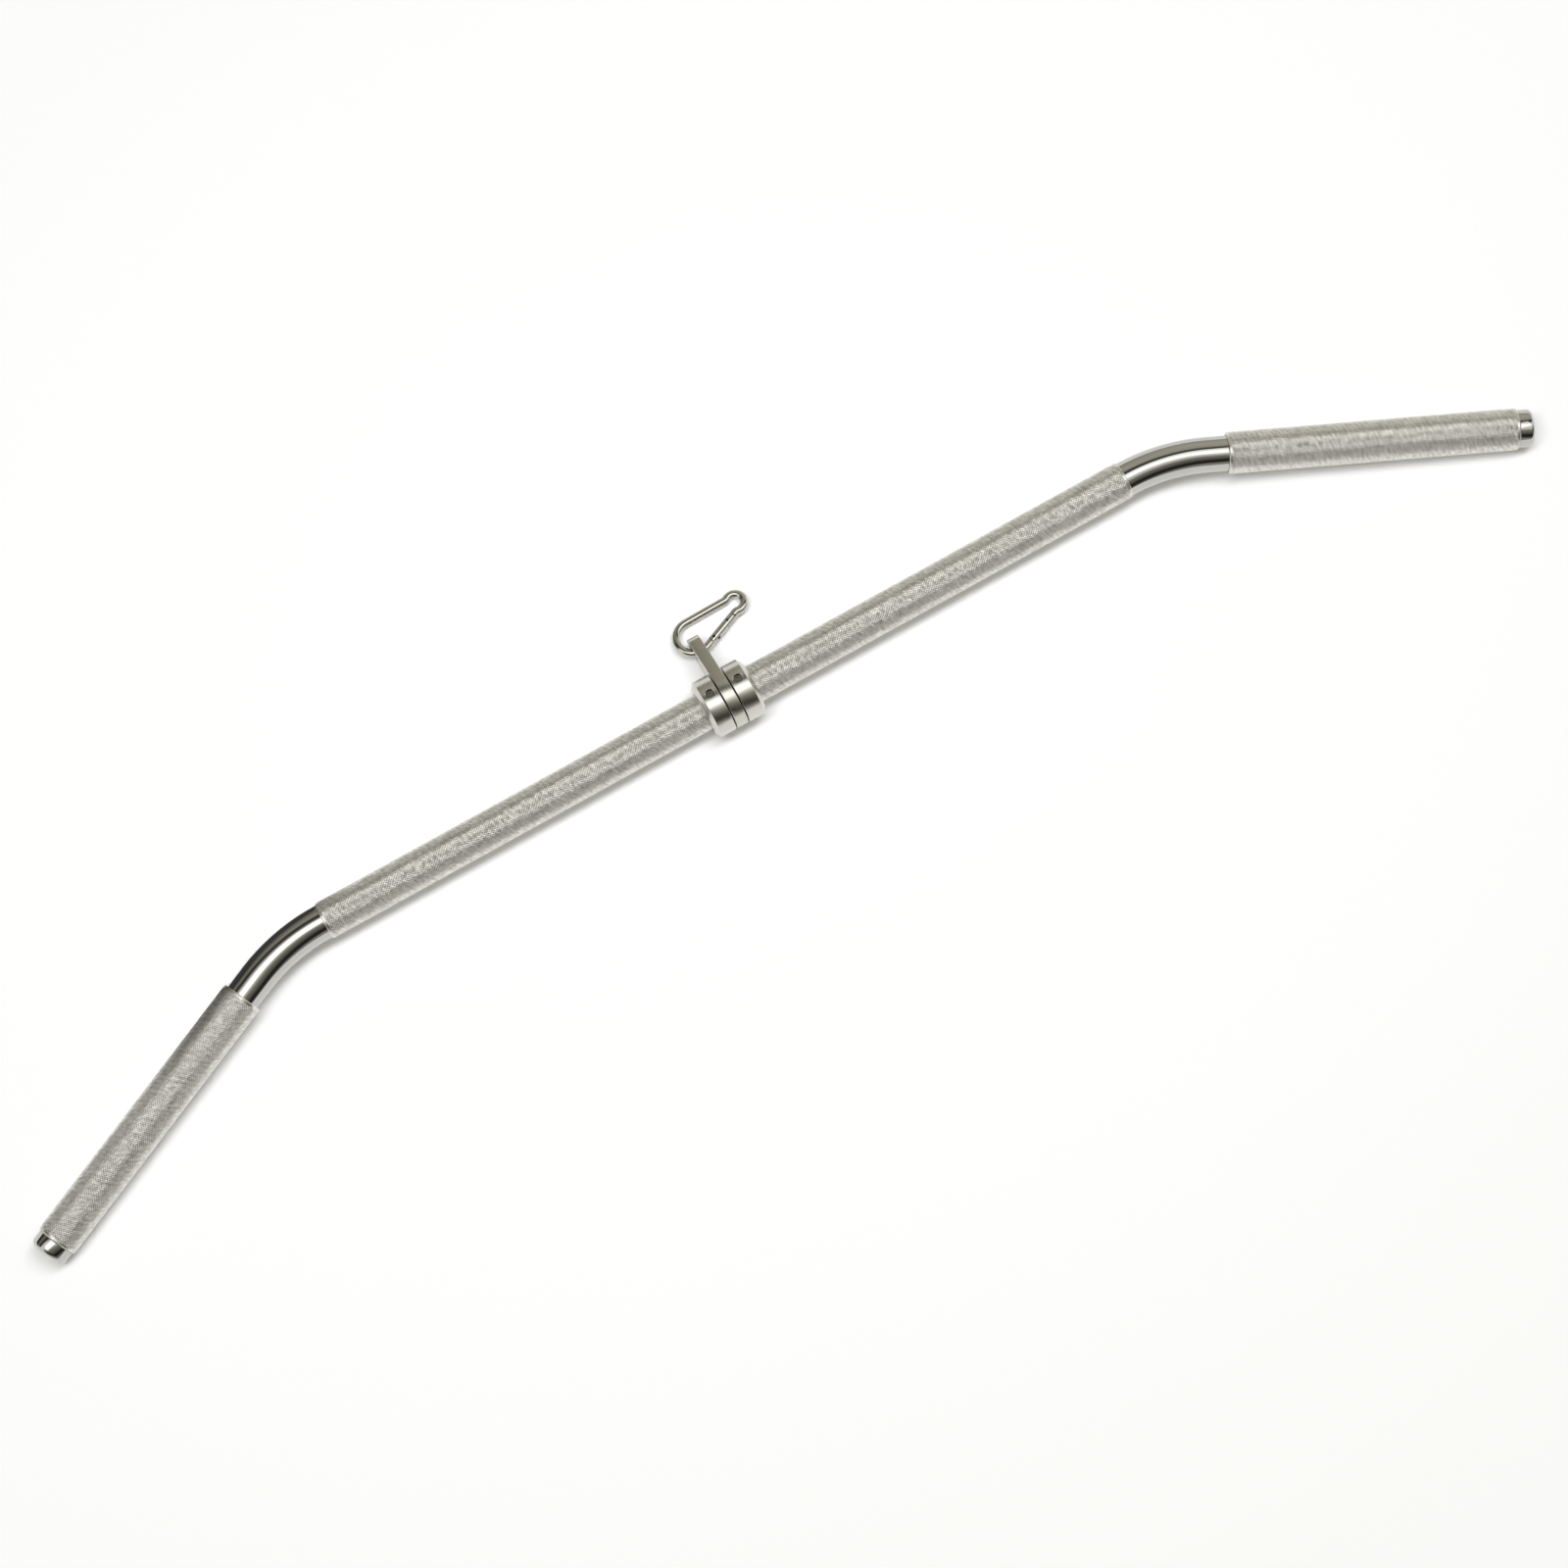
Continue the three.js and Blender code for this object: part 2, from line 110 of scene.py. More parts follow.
# Snap hook and its gate
WIRE_RADIUS = 3.15 * MM
BOW_RADIUS = 12.9 * MM
EYE_RADIUS = 7 * MM
BOW_TO_EYE = 39.4 * MM
HOOK_TAPER = radians(11.2)
HOOK_YAW = radians(12.2)
EYE_SWEEP = radians(110.5)
HINGE_FROM_BOW = 10.6 * MM
GATE_LENGTH = 21.7 * MM
LATCH_PIN_FROM_TIP = 6 * MM
HINGE_PIN_RADIUS = 1 * MM
LATCH_PIN_RADIUS = 0.9 * MM
PIN_EDGE = 0.2 * MM
FORK_SLOT = 2.6 * MM
TONGUE_THICKNESS = 2 * MM
HINGE_SLOT_LENGTH = 3.4 * MM
LATCH_SLOT_LENGTH = 9.3 * MM
LATCH_HOOK_THICKNESS = 1.5 * MM
LATCH_LIP = 1.26 * MM
NOSE_GAP = 0.6 * MM
SPRING_BORE_RADIUS = 1.7 * MM
SPRING_BORE_LENGTH = 11.2 * MM
PLUNGER_LENGTH = 3.4 * MM
SPRING_WIRE_RADIUS = 0.26 * MM
SPRING_WIRE_SIDES = 12
SPRING_TURNS = 5
SPRING_STEPS = 24  # for each turn
WIRE_SIDES = 48
WIRE_STEP = radians(4)
WIRE_EDGE = 0.5 * MM

# Fineness of the meshes
ROUND_STEPS = 4
TURNED_SIDES = 160
SMALL_SIDES = 64
HEXAGON = 6
SAME_PLACE = 0.001 * MM
FLAT_ANGLE = radians(0.5)
SOFT_ANGLE = radians(28)
RIM_ANGLE = radians(60)
KNURL_ANGLE = radians(7)

# Places that follow from the sizes
BUSH_INNER = TUBE_RADIUS + RUNNING_GAP
BUSH_OUTER = BUSH_INNER + BUSH_WALL
COLLAR_FACE = HANGER_THICKNESS / 2 + SHIM_GAP + WASHER_THICKNESS + RUNNING_GAP
SCREW_ALONG = (COLLAR_WIDTH - COLLAR_CHAMFER_LENGTH) / 2
LATCH_PIN_AT = GATE_LENGTH - LATCH_PIN_FROM_TIP
BOW_END_GAP = WIRE_RADIUS + RUNNING_GAP
NOSE_FROM = GATE_LENGTH + NOSE_GAP

joints = {joint["name"]: joint for joint in frame["joints"]}
mounts = {mount["name"]: mount for mount in frame["record"]["mounts"]}

# The bar lies on its collars and grips, so the plane of its bends leans a little
grip_axis = Vector(mounts["right_grip_end"]["axis"])
BEND_ANGLE = acos(grip_axis.x)
BAR_LEAN = atan2(-grip_axis.z, -grip_axis.y)
HANGER_DROP = asin((HANGER_RING_RADIUS - HANGER_END_RADIUS) / HANGER_REACH)
hook_axis = Vector(joints["gate_open"]["axis"])
HOOK_TILT = atan2(hook_axis.y, hook_axis.z)


def turn(angle, axis):
    """A turn about one of the axes."""
    return Matrix.Rotation(angle, 4, axis)


def move(x=0.0, y=0.0, z=0.0):
    """A shift along the axes."""
    return Matrix.Translation((x, y, z))


# Where each group of pieces stands
BAR = move(*joints["hanger_swivel"]["pos_m"]) @ turn(BAR_LEAN, "X")
SWIVEL = move(*joints["hanger_swivel"]["pos_m"]) @ turn(-HANGER_DROP, "X")
GATE = (
    move(*joints["gate_open"]["pos_m"])
    @ turn(-HOOK_TILT, "X")
    @ turn(HOOK_YAW + HOOK_TAPER, "Z")
)


def half_of_bar(side):
    """The right half's axes, and the same ones turned round for the left half."""
    return BAR if side == "right" else BAR @ turn(pi, "Y")


def past_bend(reach):
    """A place on the tube's centre line, this far past the right bend."""
    x = STRAIGHT_HALF + BEND_RADIUS * sin(BEND_ANGLE) + reach * cos(BEND_ANGLE)
    y = -BEND_RADIUS * (1 - cos(BEND_ANGLE)) - reach * sin(BEND_ANGLE)
    return x, y


def grip_of(side):
    """The start of a grip sleeve, with X along the grip."""
    return half_of_bar(side) @ move(*past_bend(GRIP_SLEEVE_SETBACK)) @ turn(-BEND_ANGLE, "Z")


def stop_of(side):
    """A collar's inner face, with Z along its set screw."""
    spin = -SCREW_TURN if side == "right" else pi + SCREW_TURN
    return half_of_bar(side) @ move(COLLAR_FACE) @ turn(spin, "X")


# Modelling


def verts_of(geometry):
    """The corners among what an operator gives."""
    return [item for item in geometry if isinstance(item, bmesh.types.BMVert)]


def faces_of(geometry):
    """The faces among what an operator gives."""
    return [item for item in geometry if isinstance(item, bmesh.types.BMFace)]


def turned(profile, sides=TURNED_SIDES):
    """A body turned round X. Each corner of its profile is (along, radius), or (along, radius,
    reach) where it is rounded."""
    bm = bmesh.new()
    corners = [bm.verts.new((corner[0], corner[1], 0)) for corner in profile]
    reaches = [corner[2] if len(corner) > 2 else 0 for corner in profile]
    for first, second in zip(corners, corners[1:]):
        bm.edges.new((first, second))
    if min(corner[1] for corner in profile) > 0:
        bm.edges.new((corners[-1], corners[0]))
    for reach in sorted(set(reaches) - {0}):
        rounded = [corner for corner, own in zip(corners, reaches) if own == reach]
        bmesh.ops.bevel(
            bm, geom=rounded, offset=reach, segments=ROUND_STEPS, profile=0.5,
            affect="VERTICES", material=-1,
        )
    bmesh.ops.spin(
        bm, geom=bm.verts[:] + bm.edges[:], cent=(0, 0, 0), axis=(1, 0, 0),
        angle=2 * pi, steps=sides, use_merge=True,
    )
    return closed(bm)


def closed(bm):
    """Merges what meets and turns every face outwards."""
    bmesh.ops.remove_doubles(bm, verts=bm.verts, dist=SAME_PLACE)
    bmesh.ops.recalc_face_normals(bm, faces=bm.faces)
    return bm


def disc(radius, sides):
    """A round section that faces along X."""
    bm = bmesh.new()
    bmesh.ops.create_circle(
        bm, cap_ends=True, segments=sides, radius=radius, matrix=turn(pi / 2, "Y")
    )
    return bm


def annulus(outer, inner, sides):
    """A round section with a round hole that faces along X."""
    bm = bmesh.new()
    for radius in (outer, inner):
        bmesh.ops.create_circle(bm, segments=sides, radius=radius, matrix=turn(pi / 2, "Y"))
    bmesh.ops.bridge_loops(bm, edges=bm.edges[:])
    return bm


def bent(bm, runs, step):
    """Draws a section along X. A run is a length, or (radius, angle) for a bend, which goes left
    if the angle is positive."""
    place = Vector((0, 0, 0))
    heading = 0.0
    section = bm.faces[:]
    for run in runs:
        if not isinstance(run, tuple):
            ahead = Vector((cos(heading), sin(heading), 0)) * run
            drawn = bmesh.ops.extrude_face_region(bm, geom=section)["geom"]
            bmesh.ops.translate(bm, verts=verts_of(drawn), vec=ahead)
            section = faces_of(drawn)
            place += ahead
            continue
        radius, angle = run
        side = radius if angle > 0 else -radius
        centre = place + Vector((-sin(heading), cos(heading), 0)) * side
        edges = {edge for face in section for edge in face.edges}
        verts = {vert for face in section for vert in face.verts}
        drawn = bmesh.ops.spin(
            bm, geom=[*verts, *edges, *section], cent=centre, axis=(0, 0, 1),
            angle=angle, steps=ceil(abs(angle) / step),
        )["geom_last"]
        section = faces_of(drawn)
        place = centre + turn(angle, "Z") @ (place - centre)
        heading += angle
    return closed(bm)


def plate(outline, thickness, corner):
    """A flat plate centred on Z, its outline's corners eased."""
    bm = bmesh.new()
    bm.faces.new([bm.verts.new((x, y, -thickness / 2)) for x, y in outline])
    bmesh.ops.bevel(
        bm, geom=bm.verts[:], offset=corner, segments=ROUND_STEPS, profile=0.5,
        affect="VERTICES", material=-1,
    )
    risen = bmesh.ops.extrude_face_region(bm, geom=bm.faces[:])["geom"]
    bmesh.ops.translate(bm, verts=verts_of(risen), vec=(0, 0, thickness))
    return closed(bm)


def pill(radius, length, far, sides=SMALL_SIDES):
    """The shape round two pins along Z, one at the origin and one at x = far."""
    bm = bmesh.new()
    for x in (0, far):
        bmesh.ops.create_cone(
            bm, cap_ends=True, segments=sides, radius1=radius, radius2=radius,
            depth=length, matrix=move(x),
        )
    return hull(bm)


def hull(bm):
    """Wraps what is in the mesh, with its flat faces whole."""
    wrapped = bmesh.ops.convex_hull(bm, input=bm.verts[:], use_existing_faces=False)
    spare = {vert for vert in wrapped["geom_interior"] if isinstance(vert, bmesh.types.BMVert)}
    bmesh.ops.delete(bm, geom=list(spare), context="VERTS")
    shell = set(faces_of(wrapped["geom"]))
    inside = [face for face in bm.faces if face not in shell]
    bmesh.ops.delete(bm, geom=inside, context="FACES_KEEP_BOUNDARY")
    bmesh.ops.dissolve_limit(
        bm, angle_limit=FLAT_ANGLE, verts=bm.verts[:], edges=bm.edges[:],
    )
    return closed(bm)


def ease_edges(bm, reach, sharper=SOFT_ANGLE):
    """Rounds every edge that turns more sharply than the given angle."""
    sharp = [edge for edge in bm.edges if edge.calc_face_angle(0) > sharper]
    bmesh.ops.bevel(
        bm, geom=sharp, offset=reach, segments=ROUND_STEPS, profile=0.5,
        affect="EDGES", material=-1,
    )
    return closed(bm)


def pin_along_z(radius, length, edge=0.0, sides=SMALL_SIDES):
    """A round pin centred on the origin, its rims eased."""
    half = length / 2
    bm = turned([(-half, 0), (-half, radius, edge), (half, radius, edge), (half, 0)], sides)
    bmesh.ops.rotate(bm, verts=bm.verts, cent=(0, 0, 0), matrix=turn(pi / 2, "Y"))
    return bm


def bore_through(radius, depth, broken, sides=TURNED_SIDES):
    """What a drilled hole along X takes away, with both rims broken at 45 degrees."""
    half = depth / 2
    flare = radius + broken + OVERRUN
    return turned([
        (-half - OVERRUN, 0),
        (-half - OVERRUN, flare),
        (-half + broken, radius),
        (half - broken, radius),
        (half + OVERRUN, flare),
        (half + OVERRUN, 0),
    ], sides)


def placed(bm, matrix):
    """Moves a mesh and gives it back."""
    bmesh.ops.transform(bm, matrix=matrix, verts=bm.verts)
    return bm


def mesh_object(name, bm):
    """Turns a mesh into an object of the scene."""
    mesh = bpy.data.meshes.new(name)
    bm.to_mesh(mesh)
    bm.free()
    made = bpy.data.objects.new(name, mesh)
    bpy.context.scene.collection.objects.link(made)
    return made


def carved(body, operation, *tools):
    """Joins, cuts or crosses a mesh with others and gives the result."""
    work = mesh_object("work", body)
    for tool in tools:
        other = mesh_object("tool", tool)
        change = work.modifiers.new("carve", "BOOLEAN")
        change.operation = operation
        change.solver = "EXACT"
        change.object = other
        with bpy.context.temp_override(object=work, active_object=work):
            bpy.ops.object.modifier_apply(modifier=change.name)
        bpy.data.objects.remove(other)
    bm = bmesh.new()
    bm.from_mesh(work.data)
    bpy.data.objects.remove(work)
    return bm


def piece(name, bm, matrix, body, node, finish, sharp=SOFT_ANGLE):
    """Sets a finished mesh in its place, on its body, instead of its CAD node."""
    made = mesh_object(name, placed(bm, matrix))
    made.data.shade_smooth()
    made.data.set_sharp_from_angle(angle=sharp)
    made.data.materials.append(finish)
    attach(made, body)
    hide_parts(node)
    return made


# Pieces


def knurled_sleeve(length, radius):
    """A sleeve with knurled pyramids between two plain bands, and a bore that clears the tube.
    Its UV map is the knurl unrolled, in metres."""
    knurled = length - 2 * (SLEEVE_BAND + SLEEVE_CHAMFER)
    rows = 2 * floor(knurled / KNURL_ALONG / 2)
    columns = 2 * floor(pi * radius / KNURL_AROUND)
    chance = Random(KNURL_SEED)
    uneven = [[chance.uniform(-1, 1) for _ in range(columns)] for _ in range(rows + 1)]
    bm = bmesh.new()
    bmesh.ops.create_grid(bm, x_segments=rows, y_segments=columns, size=0.5)
    # The crown layer is 1 on crowns and 0 in grooves: the finish uses it for the knurl's painted highlight and
    # shade.
    crown = bm.verts.layers.float.new("crown")
    unrolled = bm.loops.layers.uv.new("unrolled")
    first = SLEEVE_BAND + SLEEVE_CHAMFER
    for vert in bm.verts:
        row = round((vert.co.x + 0.5) * rows)
        column = round((vert.co.y + 0.5) * columns)
        along = first + knurled * row / rows
        around = 2 * pi * column / columns
        peak = (row + column) % 2 == 0
        own = KNURL_UNEVEN * uneven[row][column % columns]
        out = radius if peak else radius - KNURL_DEPTH * (1 + own)
        vert[crown] = 1.0 if peak else 0.0
        vert.co = (along, out * cos(around), out * sin(around))
        for loop in vert.link_loops:
            loop[unrolled].uv = (along, radius * around)
    bmesh.ops.remove_doubles(bm, verts=bm.verts, dist=SAME_PLACE)
    bmesh.ops.triangulate(bm, faces=bm.faces[:], quad_method="SHORT_EDGE")
    open_edges = [edge for edge in bm.edges if edge.is_boundary]
    start = [edge for edge in open_edges if edge.verts[0].co.x < length / 2]
    end = [edge for edge in open_edges if edge.verts[0].co.x > length / 2]
    bore = TUBE_RADIUS + FIT_GAP
    band = radius - KNURL_DEPTH
    ends = []
    for rim, far, inwards in ((start, 0, 1), (end, length, -1)):
        stations = [
            (far + inwards * first, band),
            (far + inwards * SLEEVE_CHAMFER, band),
            (far, band - SLEEVE_CHAMFER),
            (far, bore),
        ]
        for along, out in stations:
            rim = extruded_ring(bm, rim, along, out)
        ends += rim
    bmesh.ops.bridge_loops(bm, edges=ends)
    return closed(bm)


def extruded_ring(bm, rim, along, out):
    """Carries a ring of edges round X on to a place along X and a radius."""
    drawn = bmesh.ops.extrude_edge_only(bm, edges=rim)["geom"]
    for vert in verts_of(drawn):
        across = Vector((0, vert.co.y, vert.co.z)).normalized() * out
        vert.co = (along, across.y, across.z)
    fresh = set(verts_of(drawn))
    edges = [item for item in drawn if isinstance(item, bmesh.types.BMEdge)]
    return [edge for edge in edges if set(edge.verts) <= fresh]


def bar_tube():
    """One tube with two bends, drawn from its left end, with the origin in its middle."""
    limb = GRIP_SLEEVE_SETBACK + GRIP_SLEEVE_LENGTH
    bend = (BEND_RADIUS, -BEND_ANGLE)
    runs = [limb, bend, 2 * STRAIGHT_HALF, bend, limb]
    tube = bent(annulus(TUBE_RADIUS, BORE_RADIUS, TUBE_SIDES), runs, BEND_STEP)
    x, y = past_bend(limb)
    return placed(tube, move(-x, y) @ turn(BEND_ANGLE, "Z"))


def end_plug():
    """Starts at the tube's end: a spigot inside the tube and a round-edged head outside."""
    return turned([
        (-PLUG_SPIGOT, 0),
        (-PLUG_SPIGOT, BORE_RADIUS - FIT_GAP, PLUG_SPIGOT_EDGE),
        (FIT_GAP, BORE_RADIUS - FIT_GAP),
        (FIT_GAP, PLUG_RADIUS, FIT_GAP),
        (PLUG_LENGTH - PLUG_DOME, PLUG_RADIUS, PLUG_EDGE),
        (PLUG_LENGTH, PLUG_FLAT),
        (PLUG_LENGTH, 0),
    ])


def collar():
    """Inner face at x = 0, the big chamfer at the far end, and a screw hole along Z."""
    inner = CENTRE_SLEEVE_RADIUS + FIT_GAP
    chamfer_at = COLLAR_WIDTH - COLLAR_CHAMFER_LENGTH
    ring = turned([
        (0, inner, COLLAR_EDGE),
        (0, COLLAR_RADIUS, COLLAR_EDGE),
        (chamfer_at, COLLAR_RADIUS, COLLAR_EDGE / 2),
        (COLLAR_WIDTH, COLLAR_RADIUS - COLLAR_CHAMFER_DEPTH, COLLAR_EDGE),
        (COLLAR_WIDTH, inner, COLLAR_EDGE),
    ])
    hole = SCREW_RADIUS + FIT_GAP
    drill = turned([
        (0, 0),
        (0, hole),
        (COLLAR_RADIUS - SCREW_SINK, hole),
        (COLLAR_RADIUS + OVERRUN, hole + SCREW_SINK + OVERRUN),
        (COLLAR_RADIUS + OVERRUN, 0),
    ], SMALL_SIDES)
    return carved(ring, "DIFFERENCE", placed(drill, move(SCREW_ALONG) @ turn(-pi / 2, "Y")))


def set_screw():
    """Stands along Z from the collar's bore, with a hexagon socket in its top."""
    seat = CENTRE_SLEEVE_RADIUS + FIT_GAP
    body = turned([
        (0, 0),
        (0, SCREW_RADIUS, SCREW_SINK),
        (SCREW_LENGTH, SCREW_RADIUS, FIT_GAP),
        (SCREW_LENGTH, 0),
    ], SMALL_SIDES)
    socket = bmesh.new()
    corner = SCREW_SOCKET_FLATS / 2 / cos(pi / HEXAGON)
    bmesh.ops.create_cone(
        socket, cap_ends=True, segments=HEXAGON, radius1=corner, radius2=corner,
        depth=2 * SCREW_SOCKET_DEPTH, matrix=move(SCREW_LENGTH) @ turn(pi / 2, "Y"),
    )
    screw = carved(body, "DIFFERENCE", socket)
    return placed(screw, move(SCREW_ALONG, 0, seat) @ turn(-pi / 2, "Y"))


def hanger():
    """A ring with a tab along Y, one plate, bored for the bush and drilled for the hook."""
    bm = bmesh.new()
    for radius, reach in ((HANGER_RING_RADIUS, 0), (HANGER_END_RADIUS, HANGER_REACH)):
        bmesh.ops.create_cone(
            bm, cap_ends=True, segments=TURNED_SIDES, radius1=radius, radius2=radius,
            depth=HANGER_THICKNESS, matrix=move(0, reach) @ turn(pi / 2, "Y"),
        )
    blank = ease_edges(hull(bm), HANGER_EDGE)
    bush_bore = bore_through(BUSH_OUTER + FIT_GAP, HANGER_THICKNESS, HANGER_EDGE / 2)
    hook_hole = bore_through(HANGER_HOLE_RADIUS, HANGER_THICKNESS, HANGER_EDGE)
    return carved(blank, "DIFFERENCE", bush_bore, placed(hook_hole, move(0, HANGER_REACH)))


def ring_piece(length, outer, inner, edge):
    """A plain ring from x = 0, its rims eased."""
    return turned([
        (0, inner, edge),
        (0, outer, edge),
        (length, outer, edge),
        (length, inner, edge),
    ])


def hook_runs():
    """The hook's centre line from beside the hinge pin, round the bow and the eye, to the nose."""
    neck_turn = EYE_SWEEP - pi / 2 + HOOK_TAPER
    neck = Vector((BOW_TO_EYE + EYE_RADIUS * cos(EYE_SWEEP), EYE_RADIUS * sin(EYE_SWEEP)))
    across_spine = Vector((sin(HOOK_TAPER), cos(HOOK_TAPER)))
    along_spine = Vector((cos(HOOK_TAPER), -sin(HOOK_TAPER)))
    neck_reach = (neck.dot(across_spine) - BOW_RADIUS) / sin(neck_turn)
    neck_radius = neck_reach / tan(neck_turn / 2)
    heading = neck_turn - HOOK_TAPER
    corner = neck - Vector((cos(heading), sin(heading))) * neck_reach
    limb = corner.dot(along_spine) - neck_reach
    hinge_from_foot = (HINGE_FROM_BOW - BOW_RADIUS * sin(HOOK_TAPER)) / cos(HOOK_TAPER)
    return [
        hinge_from_foot - BOW_END_GAP,
        (BOW_RADIUS, -(pi + 2 * HOOK_TAPER)),
        limb,
        (neck_radius, neck_turn),
        (EYE_RADIUS, -2 * EYE_SWEEP),
        (neck_radius, neck_turn),
        limb - hinge_from_foot - NOSE_FROM,
    ]


def carabiner_body():
    """The wire and its two flat tongues, laid out from the hinge pin with X along the gate."""
    wire = bent(disc(WIRE_RADIUS, WIRE_SIDES), hook_runs(), WIRE_STEP)
    wire = placed(ease_edges(wire, WIRE_EDGE, RIM_ANGLE), move(-BOW_END_GAP) @ turn(pi, "Z"))
    half = min(HINGE_SLOT_LENGTH - RUNNING_GAP, WIRE_RADIUS - FIT_GAP)
    hinge_tongue = pill(half, TONGUE_THICKNESS, -BOW_END_GAP - WIRE_RADIUS / 2)
    pin_hole = pin_along_z(HINGE_PIN_RADIUS + FIT_GAP, TONGUE_THICKNESS + OVERRUN)
    hinge_tongue = carved(hinge_tongue, "DIFFERENCE", pin_hole)
    notch = LATCH_PIN_RADIUS + RUNNING_GAP
    tip = LATCH_PIN_AT - notch - LATCH_HOOK_THICKNESS
    root = NOSE_FROM + WIRE_RADIUS
    latch_tongue = plate([
        (root, -half),
        (tip, -half),
        (tip, LATCH_LIP),
        (LATCH_PIN_AT - notch, LATCH_LIP),
        (LATCH_PIN_AT - notch, -notch),
        (LATCH_PIN_AT + notch, -notch),
        (LATCH_PIN_AT + notch, half),
        (root, half),
    ], TONGUE_THICKNESS, FIT_GAP)
    return carved(wire, "UNION", hinge_tongue, latch_tongue)


def fork_slot(start, stop, reach):
    """What the slot of a fork takes away between two places along X."""
    outline = [(start, -reach), (stop, -reach), (stop, reach), (start, reach)]
    return plate(outline, FORK_SLOT, FIT_GAP)


def carabiner_gate():
    """The gate along X from its hinge pin, forked at both ends and bored for its spring."""
    rod = turned([
        (-WIRE_RADIUS, 0),
        (-WIRE_RADIUS, WIRE_RADIUS),
        (GATE_LENGTH, WIRE_RADIUS, WIRE_EDGE),
        (GATE_LENGTH, 0),
    ], SMALL_SIDES)
    tall = 4 * WIRE_RADIUS
    rod = carved(rod, "INTERSECT", pill(WIRE_RADIUS, tall, GATE_LENGTH))
    hinge_slot = fork_slot(-tall, HINGE_SLOT_LENGTH, tall)
    latch_slot = fork_slot(GATE_LENGTH - LATCH_SLOT_LENGTH, GATE_LENGTH + tall, tall)
    spring_bore = turned([
        (HINGE_SLOT_LENGTH / 2, 0),
        (HINGE_SLOT_LENGTH / 2, SPRING_BORE_RADIUS),
        (SPRING_BORE_LENGTH, SPRING_BORE_RADIUS),
        (SPRING_BORE_LENGTH, 0),
    ], SMALL_SIDES)
    hinge_hole = pin_along_z(HINGE_PIN_RADIUS + FIT_GAP / 2, 2 * tall)
    latch_hole = placed(pin_along_z(LATCH_PIN_RADIUS + FIT_GAP / 2, 2 * tall), move(LATCH_PIN_AT))
    return carved(rod, "DIFFERENCE", hinge_slot, latch_slot, spring_bore, hinge_hole, latch_hole)


def gate_spring():
    """A coil of fine wire in the gate's bore, behind the plunger."""
    start = HINGE_SLOT_LENGTH + PLUNGER_LENGTH + FIT_GAP + SPRING_WIRE_RADIUS
    stop = SPRING_BORE_LENGTH - FIT_GAP - SPRING_WIRE_RADIUS
    coil_radius = SPRING_BORE_RADIUS - FIT_GAP - SPRING_WIRE_RADIUS
    steps = SPRING_TURNS * SPRING_STEPS
    bm = bmesh.new()
    bmesh.ops.create_circle(
        bm, cap_ends=True, segments=SPRING_WIRE_SIDES, radius=SPRING_WIRE_RADIUS,
        matrix=move(start, coil_radius),
    )
    bmesh.ops.spin(
        bm, geom=bm.verts[:] + bm.edges[:] + bm.faces[:], cent=(0, 0, 0), axis=(1, 0, 0),
        dvec=((stop - start) / steps, 0, 0), angle=2 * pi * SPRING_TURNS, steps=steps,
    )
    return closed(bm)


# Finishes


class Wire:
    """A number that a socket carries. Python's operators add the Math nodes that work it out."""

    def __init__(self, paint, socket):
        self.paint = paint
        self.socket = socket

    def joined(self, operation, first, second):
        return self.paint.node("ShaderNodeMath", {"operation": operation}, {0: first, 1: second})

    def __add__(self, other):
        return self.joined("ADD", self, other)

    def __radd__(self, other):
        return self.joined("ADD", other, self)

    def __sub__(self, other):
        return self.joined("SUBTRACT", self, other)

    def __rsub__(self, other):
        return self.joined("SUBTRACT", other, self)

    def __mul__(self, other):
        return self.joined("MULTIPLY", self, other)

    def __rmul__(self, other):
        return self.joined("MULTIPLY", other, self)

    def __truediv__(self, other):
        return self.joined("DIVIDE", self, other)


